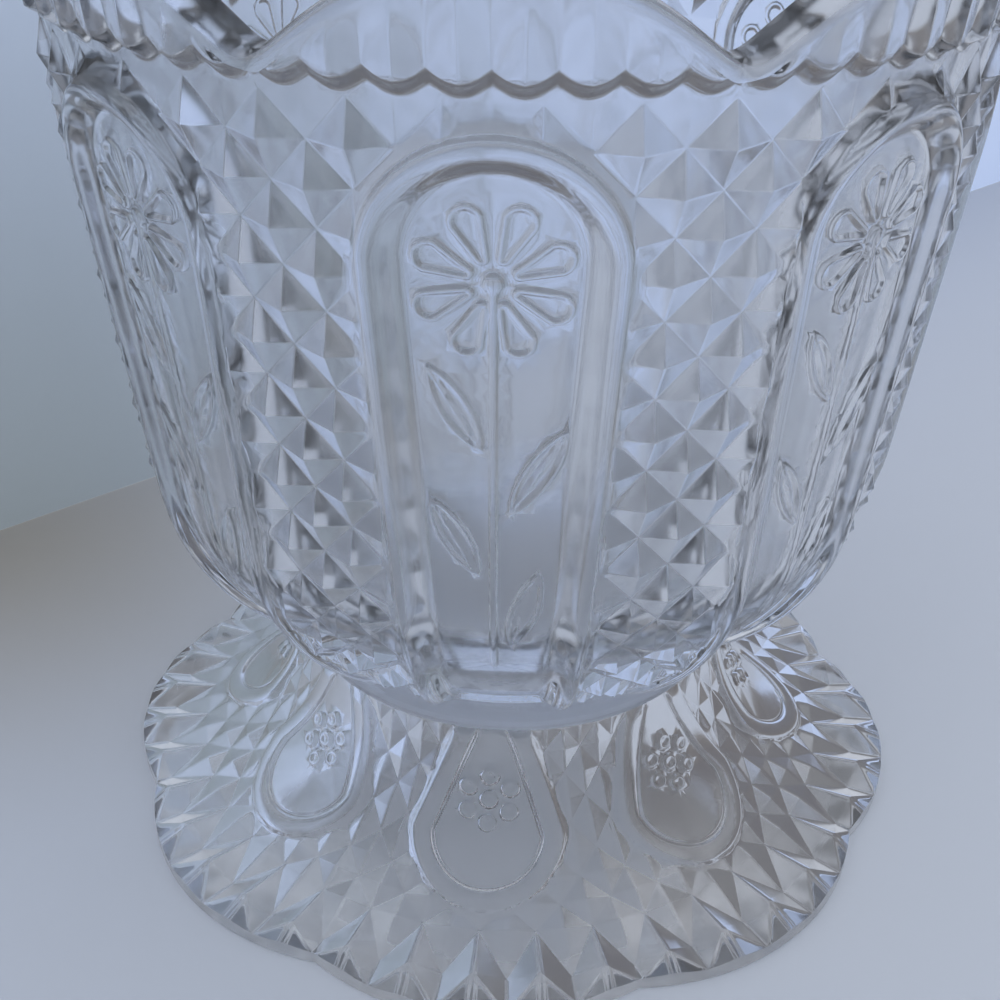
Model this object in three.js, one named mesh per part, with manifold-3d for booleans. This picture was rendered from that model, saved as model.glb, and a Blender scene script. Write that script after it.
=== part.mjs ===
// Footed bowl in clear pressed glass. A bowl with a scalloped rim carries eight arched daisy panels between
// fields of diamond points. It stands on a low domed foot with a scalloped edge, and a wafer of glass joins
// the two. The foot sits a little turned on it, as hand work leaves it. Millimetres, +Z up, origin in the
// middle of the resting face, one panel facing -Y.
import * as THREE from 'three';
import { mergeVertices } from 'three/addons/utils/BufferGeometryUtils.js';
import Module from 'manifold-3d';

const wasm = await Module();
wasm.setup();

// Repeats round the axis
const panelCount = 8;
const diamondsPerPanel = 5;
const flutesPerPanel = 8;
const petalCount = 8;
const smallPetalCount = 6;

// Heights of the three pieces, each measured from its own seat
const footHeight = 25;
const waferHeight = 3.5;
const notchHeight = 92.5;
const scallopRise = 9.5;

// Bowl: the outline that runs over the points of the diamonds
const collarRadius = 30;
const shoulderRadius = 52.3;
const shoulderHeight = 31.5;
const rimRadius = 60.4;
const baseSweepOut = 7;
const baseSweepUp = 3.4;
const shoulderSweep = 17;

// Bowl: glass behind the outline
const wall = 5;
const floorThickness = 10;
const cavityTurnHeight = 29.5;
const cavityFloorRadius = 16;

// Fields of diamond points
const diamondDepth = 1.6;
const diamondRows = 21;

// Lip band and rim. The band starts a little below the notches, with a channel between it and the diamonds.
const lipDrop = 1.3;
const lipChannel = 1.2;
const lipRelief = 0.45;
const lipToothDrop = 1.3;
const rimOuterRound = 2.4;
const rimInnerRound = 0.9;
const notchRound = 1.5;

// Arched panels of the bowl
const archRadius = 13.7;
const archGap = 4.8;
const archFootHalfWidth = 9.4;
const archFootHeight = 1.2;
const panelDepth = 1.7;
const frameWidth = 4.6;
const frameCrestIn = 1.3;
const frameProud = 0.5;
const frameEdgeDrop = 0.5;
// How far the frame has fallen to the panel's field, in even steps from its crest
const frameFallShares = [0, 0.2, 0.75, 1];

// Daisy, stem and leaves of a panel. The leaves hang below the daisy's eye by their drops.
const daisyDrop = 1.7;
const petalLength = 6.4;
const petalWidth = 3;
const petalReach = 9;
const petalRelief = 0.8;
const daisyEyeRadius = 1.1;
const stemWidth = 1.3;
const stemFootHeight = 18.5;
const leafLength = 12;
const leafWidth = 4;
const leafLean = 0.5;
const leafDrops = [14.5, 22.4, 31.3, 42.2];

// Foot, set in from the rim's widest reach
const footSetIn = 0.4;
const footNotch = 3;
const footEdge = 2.2;
const footTopIn = 2;
const footCollarRadius = 31.6;
const footWall = 4.6;
const restChamfer = 0.6;
const restWidth = 4;
const footSweepIn = 14;
const footSweepRise = 4.3;
const collarSweepOut = 2.4;
const collarSweepDrop = 14.5;
const footTurnDegrees = -2;

// Border pyramids and diamonds of the foot
const prismReach = 9.5;
const prismPeakIn = 3;
const prismCrest = 1.6;
const prismGroove = 0.6;
const prismEdgeRise = 0.6;
const footDiamondDepth = 0.9;
const footDiamondRows = 8;

// Medallions of the foot
const medallionHalfWidth = 11.2;
const medallionNeckHalfWidth = 5.4;
const medallionGap = 2.2;
const medallionRound = 10.4;
const medallionFrameWidth = 3.6;
const medallionFrameProud = 0.6;
const medallionFieldProud = 0.2;
const medallionEdgeDrop = 0.3;
const smallFlowerIn = 5.1;
const smallPetalRing = 3.2;
const smallPetalRadius = 1.4;
const smallPetalRelief = 0.6;

// Joint: a pad on bowl and foot enters the wafer
const padRadius = 23;
const padHeight = 1.2;
const padClearance = 0.3;
const waferBulge = 0.7;

// How deep ornament is rooted in the glass, and the shortest edge left beside a frame
const root = 1;
const leastEdge = 0.4;

const sector = (2 * Math.PI) / panelCount;
const rimHeight = notchHeight + scallopRise;
const lipHeight = notchHeight - lipDrop;
const archSpringHeight = lipHeight - archGap - archRadius;
const daisyHeight = archSpringHeight - daisyDrop;
const footRadius = rimRadius - footSetIn;
const sharpRise = Math.sqrt((scallopRise + notchRound) ** 2 - notchRound ** 2);
// Inset of a quarter round's middle from its corner
const roundShare = 1 - Math.SQRT1_2;

// Columns of points in half a sector
const plainColumns = 3;
const rimColumns = 5;
const fluteColumns = flutesPerPanel;
const diamondColumns = diamondsPerPanel;

// A meridian is an outline in the plane of radius and height, run from its lower end to its upper end.
// Ornament is placed on the surface that it sweeps out by an angle from the -Y side, the length along the
// meridian and a height above the surface.
class Meridian {
  constructor(path) {
    this.path = path;
    this.length = path.getLength();
  }

  at(along, above = 0) {
    const share = THREE.MathUtils.clamp(along / this.length, 0, 1);
    const on = this.path.getPointAt(share);
    const way = this.path.getTangentAt(share);
    return new THREE.Vector2(on.x + way.y * above, on.y - way.x * above);
  }

  point(angle, along, above = 0) {
    return around(angle, this.at(along, above));
  }

  // A place given by its distance beside the panel's middle line instead of an angle
  place(across, along, above = 0) {
    const at = this.at(along, above);
    return around(Math.asin(THREE.MathUtils.clamp(across / at.x, -1, 1)), at);
  }

  // Length along the meridian where test(radius, height) first holds
  find(test) {
    let low = 0;
    let high = this.length;
    while (high - low > this.length * 1e-5) {
      const middle = (low + high) / 2;
      if (test(this.at(middle))) high = middle;
      else low = middle;
    }
    return high;
  }

  atHeight(height) {
    return this.find((at) => at.y >= height);
  }

  inFrom(radius) {
    return this.find((at) => at.x <= radius);
  }

  // Points along the curved part, evenly, and the end of the straight part, where there is one
  outline(steps, above = 0) {
    const [bend, ...rest] = this.path.curves;
    const bendLength = bend.getLength();
    const points = Array.from({ length: steps + 1 }, (_, i) => this.at((bendLength * i) / steps, above));
    return rest.length ? [...points, this.at(this.length, above)] : points;
  }
}

function around(angle, at) {
  return new THREE.Vector3(at.x * Math.sin(angle), -at.x * Math.cos(angle), at.y);
}

// Row of points over half a sector, from the middle of a panel to the middle of the diamonds beside it
function row(columns, pointAt) {
  return Array.from({ length: columns + 1 }, (_, i) => pointAt((sector / 2) * (i / columns), i));
}

function circle(radius, height) {
  return row(plainColumns, (angle) => around(angle, new THREE.Vector2(radius, height)));
}

function pole(height) {
  return [new THREE.Vector3(0, 0, height)];
}

// Triangles between two rows, cut along the shorter diagonals, which are the grooves between diamonds
function strip(lower, upper) {
  const triangles = [];
  let i = 0;
  let j = 0;
  while (i + 1 < lower.length || j + 1 < upper.length) {
    const lowerOnly = j + 1 >= upper.length;
    const upperOnly = i + 1 >= lower.length;
    const shorter = () => lower[i + 1].distanceTo(upper[j]) < lower[i].distanceTo(upper[j + 1]);
    if (lowerOnly || (!upperOnly && shorter())) {
      triangles.push([lower[i], lower[i + 1], upper[j]]);
      i++;
    } else {
      triangles.push([lower[i], upper[j + 1], upper[j]]);
      j++;
    }
  }
  return triangles;
}

function stripsOver(rows) {
  return rows.slice(1).flatMap((upper, i) => strip(rows[i], upper));
}

// Closed skin from the triangles of half a sector, mirrored and repeated round the axis
function wholeSkin(half) {
  const up = new THREE.Vector3(0, 0, 1);
  const points = [];
  for (let k = 0; k < panelCount; k++) {
    for (const triangle of half) {
      const mirrored = triangle.map((point) => new THREE.Vector3(-point.x, point.y, point.z)).reverse();
      for (const point of [...triangle, ...mirrored]) {
        points.push(point.clone().applyAxisAngle(up, sector * k));
      }
    }
  }
  return solid(new THREE.BufferGeometry().setFromPoints(points));
}

function solid(geometry) {
  const bare = geometry.clone();
  bare.deleteAttribute('normal');
  bare.deleteAttribute('uv');
  const merged = mergeVertices(bare);
  return new wasm.Manifold(new wasm.Mesh({
    numProp: 3,
    vertProperties: new Float32Array(merged.attributes.position.array),
    triVerts: new Uint32Array(merged.index.array),
  }));
}

function piece(name, body, material) {
  const { vertProperties, triVerts } = body.getMesh();
  const geometry = new THREE.BufferGeometry();
  geometry.setAttribute('position', new THREE.BufferAttribute(vertProperties, 3));
  geometry.setIndex(new THREE.BufferAttribute(triVerts, 1));
  geometry.computeVertexNormals();
  const mesh = new THREE.Mesh(geometry, material);
  mesh.name = name;
  return mesh;
}

function revolve(outline) {
  return solid(new THREE.LatheGeometry(outline, plainColumns * 2 * panelCount).rotateX(Math.PI / 2));
}

// The same ornament on every panel
function onEveryPanel(one) {
  return Array.from({ length: panelCount }, (_, k) => one.rotate([0, 0, (360 * k) / panelCount]));
}

function addAll(body, parts) {
  return parts.reduce((sum, part) => sum.add(part), body);
}

// Height share of a scallop across its width, from 0 at the notch on either side to 1 in its middle
function scallopShare(angle) {
  const fromMiddle = Math.abs(((angle / sector + 0.5) % 1) - 0.5) * 2;
  return 1 - fromMiddle ** 2;
}

// A moulding of constant section along a route laid on a meridian's surface. A route point is a distance
// across and a length along. A section point is a distance beside the route and a height above the surface.
function moulding(meridian, route, section) {
  const points = [];
  route.forEach((at, i) => {
    const way = route[Math.min(i + 1, route.length - 1)].clone().sub(route[Math.max(i - 1, 0)]).normalize();
    for (const part of section) {
      points.push(meridian.place(at.x + way.y * part.x, at.y - way.x * part.x, part.y));
    }
  });
  const faces = [];
  const count = section.length;
  for (let i = 0; i + 1 < route.length; i++) {
    for (let j = 0; j < count; j++) {
      const a = i * count + j;
      const b = i * count + ((j + 1) % count);
      faces.push(a, a + count, b, b, a + count, b + count);
    }
  }
  const last = (route.length - 1) * count;
  for (const [a, b, c] of THREE.ShapeUtils.triangulateShape(section, [])) {
    faces.push(a, b, c, last + a, last + c, last + b);
  }
  const geometry = new THREE.BufferGeometry().setFromPoints(points);
  geometry.setIndex(faces);
  return solid(geometry);
}

// Outline of a framed panel: a straight or tapering side from its foot to its widest place, then an elliptic
// end. Its places are lengths along the meridian, which is curved from the panel's foot to bendAlong. An
// inset outline runs inside it at an even distance.
class Panel {
  constructor({ footAlong, footHalf, bendAlong, widestAlong, widestHalf, endAlong }) {
    Object.assign(this, { footAlong, footHalf, bendAlong, widestAlong, widestHalf });
    this.way = Math.sign(endAlong - widestAlong);
    this.reach = Math.abs(endAlong - widestAlong);
  }

  endAlong(inset) {
    return this.widestAlong + this.way * (this.reach - inset);
  }

  halfWidth(along, inset = 0) {
    const beyond = (along - this.widestAlong) * this.way;
    if (beyond > 0) {
      return (this.widestHalf - inset) * Math.sqrt(Math.max(0, 1 - (beyond / (this.reach - inset)) ** 2));
    }
    const share = (along - this.widestAlong) / (this.footAlong - this.widestAlong);
    return THREE.MathUtils.lerp(this.widestHalf, this.footHalf, share) - inset;
  }

  covers(along) {
    return (along - this.endAlong(0)) * this.way < 0;
  }

  endStations(inset, steps) {
    return Array.from({ length: steps + 1 }, (_, i) =>
      this.widestAlong + this.way * (this.reach - inset) * Math.sin((Math.PI / 2) * (i / steps)));
  }

  stations(inset, sideSteps, endSteps) {
    const side = Array.from({ length: sideSteps + 1 }, (_, i) =>
      THREE.MathUtils.lerp(this.footAlong, this.bendAlong, i / sideSteps));
    return [...new Set([...side, ...this.endStations(inset, endSteps)])].sort((a, b) => a - b);
  }
}

// Half of a framed panel with the diamonds beside it. rows holds the place of each row of diamonds along the
// meridian, and rail the frame's section as pairs of inset and height, of which the last is the field's edge.
function panelAndDiamonds({ meridian, panel, rows, pointAt, rail, sideSteps, endSteps }) {
  const edgeHeight = rail[0][1];
  const end = panel.endAlong(0);
  const atEnd = (along) => Math.abs(along - end) <= leastEdge;
  const alongs = rows.map((along) => (atEnd(along) ? end + panel.way * leastEdge : along));
  const covered = alongs.filter((along) => panel.covers(along));
  const endAlongs = panel.endStations(0, endSteps)
    .filter((along) => covered.every((at) => Math.abs(at - along) > leastEdge));
  const edgeAlongs = [...new Set([...covered, ...endAlongs])].sort((a, b) => a - b);
  const edge = (along) => meridian.place(panel.halfWidth(along), along, edgeHeight);
  const lists = alongs.map((along, i) => {
    const all = row(diamondColumns, (angle, column) => pointAt(angle, column, along, i));
    if (!panel.covers(along)) return all;
    const start = edge(along);
    return [start, ...all.filter((point) => point.x > start.x + leastEdge)];
  });
  const triangles = [];
  for (let i = 0; i + 1 < alongs.length; i++) {
    const between = edgeAlongs.filter((along) => along > alongs[i] && along < alongs[i + 1]).map(edge);
    between.sort((a, b) => a.x - b.x);
    const lowerIsWider = panel.way > 0;
    const lower = lowerIsWider ? [...between, ...lists[i]] : lists[i];
    const upper = lowerIsWider ? lists[i + 1] : [...between, ...lists[i + 1]];
    triangles.push(...strip(lower, upper));
  }
  const lines = [edgeAlongs.map(edge)];
  for (const [inset, height] of rail.slice(1)) {
    lines.push(panel.stations(inset, sideSteps, endSteps).map((along) =>
      meridian.place(panel.halfWidth(along, inset), along, height)));
  }
  const [fieldInset, fieldHeight] = rail.at(-1);
  const spine = panel.stations(fieldInset, sideSteps, 1)
    .map((along) => meridian.place(0, along, fieldHeight));
  triangles.push(...stripsOver([...lines, spine]));
  const footAt = panel.way > 0 ? 0 : -1;
  const footRow = [spine, ...lines.slice(1).reverse()].map((line) => line.at(footAt));
  return { triangles, first: lists[0], last: lists.at(-1), footRow };
}

// A small raised boss: a unit shape that stands on its base, turned to the surface's normal and rooted in the
// glass. Its half width and half length are those that show at the given height above the meridian's surface.
function boss(meridian, shape, { across = 0, along, above, turn = 0, halfWidth, halfLength, relief }) {
  const foot = meridian.place(across, along, above - root);
  const out = meridian.place(across, along, above).sub(foot).normalize();
  const east = new THREE.Vector3(0, 0, 1).cross(out).normalize();
  const spread = (relief + root) / relief;
  const frame = new THREE.Matrix4().makeBasis(east, out.clone().cross(east), out).setPosition(foot);
  frame.multiply(new THREE.Matrix4().makeRotationZ(turn));
  frame.multiply(new THREE.Matrix4().makeScale(halfWidth * spread, halfLength * spread, relief + root));
  return solid(shape.clone().applyMatrix4(frame));
}

function unitCone(sides) {
  const cone = new THREE.ConeGeometry(1, 1, sides).rotateX(Math.PI / 2);
  cone.computeBoundingBox();
  return cone.translate(0, 0, -cone.boundingBox.min.z);
}

const petalShape = unitCone(6);
const beadShape = unitCone(5);
const leafShape = unitCone(4);

const bowlMeridian = makeBowlMeridian();
const footMeridian = makeFootMeridian();

function makeBowlMeridian() {
  const lean = (rimRadius - shoulderRadius) / (rimHeight - shoulderHeight);
  const path = new THREE.Path();
  path.moveTo(collarRadius, 0);
  path.bezierCurveTo(
    collarRadius + baseSweepOut, baseSweepUp,
    shoulderRadius - lean * shoulderSweep, shoulderHeight - shoulderSweep,
    shoulderRadius, shoulderHeight,
  );
  path.lineTo(rimRadius, rimHeight);
  return new Meridian(path);
}

function makeFootMeridian() {
  const path = new THREE.Path();
  path.moveTo(footRadius - footTopIn, footEdge);
  path.bezierCurveTo(
    footRadius - footTopIn - footSweepIn, footEdge + footSweepRise,
    footCollarRadius + collarSweepOut, footHeight - collarSweepDrop,
    footCollarRadius, footHeight,
  );
  return new Meridian(path);
}

// The cavity, from the rim's inner edge down to the middle of the floor
function cavityOutline() {
  const turnRadius = bowlMeridian.at(bowlMeridian.atHeight(cavityTurnHeight)).x - wall;
  const steps = 5;
  return Array.from({ length: steps + 1 }, (_, i) => {
    const swing = (Math.PI / 2) * (i / steps);
    return new THREE.Vector2(
      cavityFloorRadius + (turnRadius - cavityFloorRadius) * Math.cos(swing),
      cavityTurnHeight - (cavityTurnHeight - floorThickness) * Math.sin(swing),
    );
  });
}

function rimAt(angle) {
  return notchHeight + Math.hypot(sharpRise * scallopShare(angle), notchRound) - notchRound;
}

// Bowl without its flowers, from the pad under it to the floor of its cavity
function bowlBlank() {
  const panelFoot = bowlMeridian.atHeight(archFootHeight);
  const spring = bowlMeridian.atHeight(archSpringHeight);
  const panel = new Panel({
    footAlong: panelFoot, footHalf: archFootHalfWidth, bendAlong: bowlMeridian.atHeight(shoulderHeight),
    widestAlong: spring, widestHalf: archRadius, endAlong: spring + archRadius,
  });
  const lipAlong = bowlMeridian.atHeight(lipHeight) - lipToothDrop;
  const rows = Array.from({ length: diamondRows + 1 }, (_, i) =>
    THREE.MathUtils.lerp(panelFoot, lipAlong - lipChannel, i / diamondRows));
  const half = panelAndDiamonds({
    meridian: bowlMeridian, panel, rows, sideSteps: 5, endSteps: 4,
    pointAt: (angle, column, along, i) => {
      const below = diamondRows - i;
      const onPoint = below > 0 && (column + below) % 2 === 0;
      return bowlMeridian.point(angle, along, onPoint ? 0 : -diamondDepth);
    },
    rail: [[0, -frameEdgeDrop], ...frameFallShares.map((share, i) => [
      THREE.MathUtils.lerp(frameCrestIn, frameWidth, i / (frameFallShares.length - 1)),
      THREE.MathUtils.lerp(frameProud, -panelDepth, share),
    ])],
  });
  const lipRow = (heightAt) => row(fluteColumns, (angle, i) =>
    bowlMeridian.point(angle, bowlMeridian.atHeight(heightAt(angle, i % 2)), i % 2 ? lipRelief : 0));
  const rimRow = (below, inset) => row(rimColumns, (angle) => {
    const height = rimAt(angle);
    const outside = bowlMeridian.at(bowlMeridian.atHeight(height));
    return around(angle, new THREE.Vector2(outside.x - inset, height - below));
  });
  const innerRadius = (height) => bowlMeridian.at(bowlMeridian.atHeight(height)).x - wall;
  const innerRing = (height) => row(rimColumns, (angle) =>
    around(angle, new THREE.Vector2(innerRadius(height), height)));
  const base = [
    pole(-padHeight), circle(padRadius, -padHeight), circle(padRadius, 0), circle(collarRadius, 0),
  ];
  const above = [
    row(diamondColumns, (angle) => bowlMeridian.point(angle, lipAlong, -diamondDepth)),
    lipRow((_, crest) => lipHeight - lipToothDrop * crest), lipRow((angle) => (lipHeight + rimAt(angle)) / 2),
    rimRow(rimOuterRound, 0), rimRow(rimOuterRound * roundShare, rimOuterRound * roundShare),
    rimRow(0, rimOuterRound), rimRow(0, wall - rimInnerRound), rimRow(rimInnerRound, wall),
    innerRing(notchHeight - wall), ...cavityOutline().map((at) => circle(at.x, at.y)), pole(floorThickness),
  ];
  return wholeSkin([
    ...stripsOver([...base, [...half.footRow, ...half.first]]), ...half.triangles,
    ...stripsOver([half.last, ...above]),
  ]);
}

// Daisy of one panel: petals round an eye, none of them straight up
function daisy() {
  const along = bowlMeridian.atHeight(daisyHeight);
  const middle = petalReach - petalLength / 2;
  const common = { above: -panelDepth, relief: petalRelief };
  const petals = Array.from({ length: petalCount }, (_, i) => {
    const turn = (2 * Math.PI * (i + 1 / 2)) / petalCount;
    return boss(bowlMeridian, petalShape, {
      ...common, turn, across: -middle * Math.sin(turn), along: along + middle * Math.cos(turn),
      halfWidth: petalWidth / 2, halfLength: petalLength / 2,
    });
  });
  const eye = boss(bowlMeridian, beadShape, {
    ...common, along, halfWidth: daisyEyeRadius, halfLength: daisyEyeRadius,
  });
  return addAll(eye, petals);
}

// Stem and leaves of one panel
function stemAndLeaves() {
  const top = bowlMeridian.atHeight(daisyHeight) - daisyEyeRadius;
  const bottom = bowlMeridian.atHeight(stemFootHeight);
  const steps = 4;
  const route = Array.from({ length: steps + 1 }, (_, i) =>
    new THREE.Vector2(0, THREE.MathUtils.lerp(bottom, top, i / steps)));
  const half = stemWidth / 2;
  const section = [
    [-half, -panelDepth - root], [half, -panelDepth - root], [half, -panelDepth],
    [0, petalRelief - panelDepth], [-half, -panelDepth],
  ].map(([beside, above]) => new THREE.Vector2(beside, above));
  const leaves = leafDrops.map((drop, i) => {
    const side = i % 2 ? 1 : -1;
    const across = side * (stemWidth + (leafLength / 2) * Math.sin(leafLean));
    const along = bowlMeridian.atHeight(daisyHeight - drop);
    return boss(bowlMeridian, leafShape, {
      across, along, above: -panelDepth, turn: -side * leafLean, halfWidth: leafWidth / 2,
      halfLength: leafLength / 2, relief: petalRelief,
    });
  });
  return addAll(moulding(bowlMeridian, route, section), leaves);
}

function bowl() {
  return addAll(bowlBlank(), onEveryPanel(daisy().add(stemAndLeaves())));
}

// Foot without its flowers: hollow underside, resting face, scalloped edge, prisms, medallions, diamonds, pad
function footBlank() {
  const ceiling = footHeight - footWall;
  const restRadius = footRadius - footNotch - restChamfer;
  const edgeRow = (inset, height, crestRise = 0) => row(diamondColumns, (angle, i) => {
    const radius = footRadius - footNotch * (1 - scallopShare(angle));
    return around(angle, new THREE.Vector2(radius - inset, i % 2 ? height : height + crestRise));
  });
  const underside = footMeridian.outline(7, -footWall).reverse()
    .filter((at) => at.y > 0 && at.y < ceiling && at.x < restRadius - restWidth);
  const base = [
    pole(ceiling), circle(underside[0].x - footWall / 2, ceiling),
    ...underside.map((at) => circle(at.x, at.y)), circle(restRadius - restWidth, 0),
    edgeRow(restChamfer, 0), edgeRow(0, restChamfer), edgeRow(0, footEdge, prismEdgeRise),
    row(diamondColumns, (angle, i) =>
      footMeridian.point(angle, prismPeakIn, i % 2 ? -prismGroove : prismCrest)),
  ];
  const widest = prismReach + medallionGap + medallionRound;
  const panel = new Panel({
    footAlong: footMeridian.length, footHalf: medallionNeckHalfWidth, bendAlong: widest,
    widestAlong: widest, widestHalf: medallionHalfWidth, endAlong: prismReach + medallionGap,
  });
  const rows = Array.from({ length: footDiamondRows + 1 }, (_, i) =>
    THREE.MathUtils.lerp(prismReach, footMeridian.length, i / footDiamondRows));
  const half = panelAndDiamonds({
    meridian: footMeridian, panel, rows, sideSteps: 3, endSteps: 4,
    pointAt: (angle, column, along, i) =>
      footMeridian.point(angle, along, (column + i) % 2 || i === footDiamondRows ? 0 : -footDiamondDepth),
    rail: [
      [0, -medallionEdgeDrop], [medallionFrameWidth / 3, medallionFrameProud],
      [(medallionFrameWidth * 2) / 3, medallionFrameProud], [medallionFrameWidth, medallionFieldProud],
    ],
  });
  const padTop = footHeight + padHeight;
  const above = [
    circle(footCollarRadius, footHeight), circle(padRadius, footHeight), circle(padRadius, padTop),
    pole(padTop),
  ];
  return wholeSkin([
    ...stripsOver([...base, half.first]), ...half.triangles,
    ...stripsOver([[...half.footRow, ...half.last], ...above]),
  ]);
}

// Small flower of one medallion: round petals about a round middle
function smallFlower() {
  const along = prismReach + medallionGap + medallionRound + smallFlowerIn;
  const bead = (turn, distance) => boss(footMeridian, beadShape, {
    across: distance * Math.sin(turn), along: along + distance * Math.cos(turn), above: medallionFieldProud,
    halfWidth: smallPetalRadius, halfLength: smallPetalRadius, relief: smallPetalRelief,
  });
  const petals = Array.from({ length: smallPetalCount }, (_, i) =>
    bead((2 * Math.PI * i) / smallPetalCount, smallPetalRing));
  return addAll(bead(0, 0), petals);
}

function foot() {
  return addAll(footBlank(), onEveryPanel(smallFlower()));
}

// Wafer: a disc with a rounded edge and a print of the pads in both faces
function wafer() {
  const print = padRadius + padClearance;
  const depth = padHeight + padClearance;
  const bulge = new THREE.Path();
  bulge.moveTo(footCollarRadius, 0);
  bulge.quadraticCurveTo(footCollarRadius + waferBulge, waferHeight / 2, collarRadius, waferHeight);
  return revolve([
    new THREE.Vector2(0, depth), new THREE.Vector2(print, depth), new THREE.Vector2(print, 0),
    ...bulge.getPoints(4),
    new THREE.Vector2(print, waferHeight), new THREE.Vector2(print, waferHeight - depth),
    new THREE.Vector2(0, waferHeight - depth),
  ]);
}

function glass() {
  return new THREE.MeshStandardMaterial({
    color: 0xdfe4ec, roughness: 0.05, metalness: 0, transparent: true, opacity: 0.45,
  });
}

const footedBowl = new THREE.Group();
const footPiece = piece('foot', foot(), glass());
footPiece.rotation.z = THREE.MathUtils.degToRad(footTurnDegrees);
const waferPiece = piece('joining_wafer', wafer(), glass());
waferPiece.position.z = footHeight;
const bowlPiece = piece('bowl', bowl(), glass());
bowlPiece.position.z = footHeight + waferHeight;
footedBowl.add(footPiece, waferPiece, bowlPiece);

export default footedBowl;
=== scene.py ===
import math

import bmesh
import bpy
import numpy as np
from mathutils import Matrix, Vector
from mathutils.geometry import delaunay_2d_cdt


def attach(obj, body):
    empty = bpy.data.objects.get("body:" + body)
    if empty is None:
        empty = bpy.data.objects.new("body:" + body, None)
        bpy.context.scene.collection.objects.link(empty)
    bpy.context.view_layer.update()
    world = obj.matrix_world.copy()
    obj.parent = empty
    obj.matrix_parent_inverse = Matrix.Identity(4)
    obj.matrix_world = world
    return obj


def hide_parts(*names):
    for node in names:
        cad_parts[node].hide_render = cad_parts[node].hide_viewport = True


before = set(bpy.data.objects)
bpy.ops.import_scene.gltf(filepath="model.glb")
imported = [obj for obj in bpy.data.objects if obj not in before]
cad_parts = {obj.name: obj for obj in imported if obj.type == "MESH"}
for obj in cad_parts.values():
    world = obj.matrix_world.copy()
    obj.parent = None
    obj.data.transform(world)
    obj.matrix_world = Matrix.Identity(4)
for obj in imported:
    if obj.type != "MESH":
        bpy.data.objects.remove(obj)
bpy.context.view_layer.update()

# Footed bowl in clear pressed glass. Lengths here are millimetres in the frame of the solids, and every mesh is
# scaled to metres when it is made. The bowl's own heights count from its seat on the wafer.
MM = 0.001
PANELS = 8
SECTOR = 2 * math.pi / PANELS
COLUMNS = 10  # of diamonds in a sector, points and grooves counted alike
ACROSS_SECTOR = 80  # points of a ring in a sector

FOOT_TOP = 25.0
BOWL_SEAT = 28.5

# Bowl
COLLAR_RADIUS = 30.0
SHOULDER = (52.3, 31.5)
RIM = (60.4, 102.0)
WALL = 5.0
NOTCH_HEIGHT = 92.5
SCALLOP_RISE = 9.5
NOTCH_ROUND = 1.5
RIM_OUTER_ROUND = 2.4
RIM_INNER_ROUND = 0.9
LIP_HEIGHT = 91.2
LIP_TOOTH = 1.3
LIP_CHANNEL = 1.2
DIAMOND_DEPTH = 1.6
DIAMOND_ROWS = 21
RIDGE_HALF = 0.14  # half width of the round on a ridge of the diamonds
GROOVE_HALF = 0.045
RIDGE_ROUND = 0.06
PANEL_FOOT = 1.2
ARCH_RADIUS = 13.7
ARCH_SPRING = 72.7
ARCH_FOOT_HALF = 9.4
DAISY_HEIGHT = 71.0
CAVITY_TURN = 29.5
CAVITY_FLOOR = 10.0
CAVITY_FLOOR_RADIUS = 16.0
BOWL_DRAWN_AT = 56.0  # radius at which a sector of the bowl's side is laid flat

# Foot
FOOT_RADIUS = 60.0
FOOT_NOTCH = 3.0
FOOT_EDGE = 2.2
FOOT_TOP_IN = 2.0
FOOT_COLLAR = 31.6
FOOT_WALL = 4.6
REST_WIDTH = 4.0
REST_CHAMFER = 0.6
FOOT_TURN = math.radians(-2)
PRISM_REACH = 9.5
PRISM_PEAK = 3.0
PRISM_CREST = 1.6
PRISM_FALL = 2.2  # from a crest to the groove beside it
EDGE_RISE = 0.6
FOOT_DIAMOND_DEPTH = 0.65
FOOT_DIAMOND_ROWS = 8
FOOT_DRAWN_AT = 44.0
# A crease is drawn as parallel lines, so that the facets beside it stay flat
FOOT_RIDGE_LINES = (-0.5, -0.25, 0, 0.25, 0.5)
FOOT_CROSS_LINES = (-0.12, 0, 0.12)
FOOT_GROOVE_LINES = (-0.04, 0, 0.04)


class Meridian:
    """Outline in the plane of radius and height. Ornament sits on what it sweeps out, by angle, length and relief."""

    def __init__(self, bend, straight_to=None):
        share = np.linspace(0, 1, 500)[:, None]
        rest = 1 - share
        a, b, c, d = (np.array(p, float) for p in bend)
        line = rest ** 3 * a + 3 * rest ** 2 * share * b + 3 * rest * share ** 2 * c + share ** 3 * d
        if straight_to is not None:
            line = np.vstack([line, d + share[1:] * (np.array(straight_to) - d)])
        self.line = line
        self.along = np.concatenate([[0], np.cumsum(np.hypot(*np.diff(line, axis=0).T))])
        self.length = float(self.along[-1])
        way = np.gradient(line, self.along, axis=0)
        way /= np.linalg.norm(way, axis=1)[:, None]
        self.out = np.stack([way[:, 1], -way[:, 0]], 1)

    def read(self, values, along):
        return np.interp(along, self.along, values)

    def radius(self, along):
        return self.read(self.line[:, 0], along)

    def height(self, along):
        return self.read(self.line[:, 1], along)

    def at_height(self, height):
        """Length along the outline up to this height."""
        return np.interp(height, self.line[:, 1], self.along)

    def radius_at_height(self, height):
        return np.interp(height, self.line[:, 1], self.line[:, 0])

    def profile(self, along, relief=0.0):
        """Radius and height of the places at these lengths, raised by relief."""
        return (self.radius(along) + self.read(self.out[:, 0], along) * relief,
                self.height(along) + self.read(self.out[:, 1], along) * relief)


def around(angle, radius, height):
    """Points by angle from the front, radius and height."""
    angle, radius, height = np.broadcast_arrays(angle, radius, height)
    return np.stack([radius * np.sin(angle), -radius * np.cos(angle), height], -1)


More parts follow.
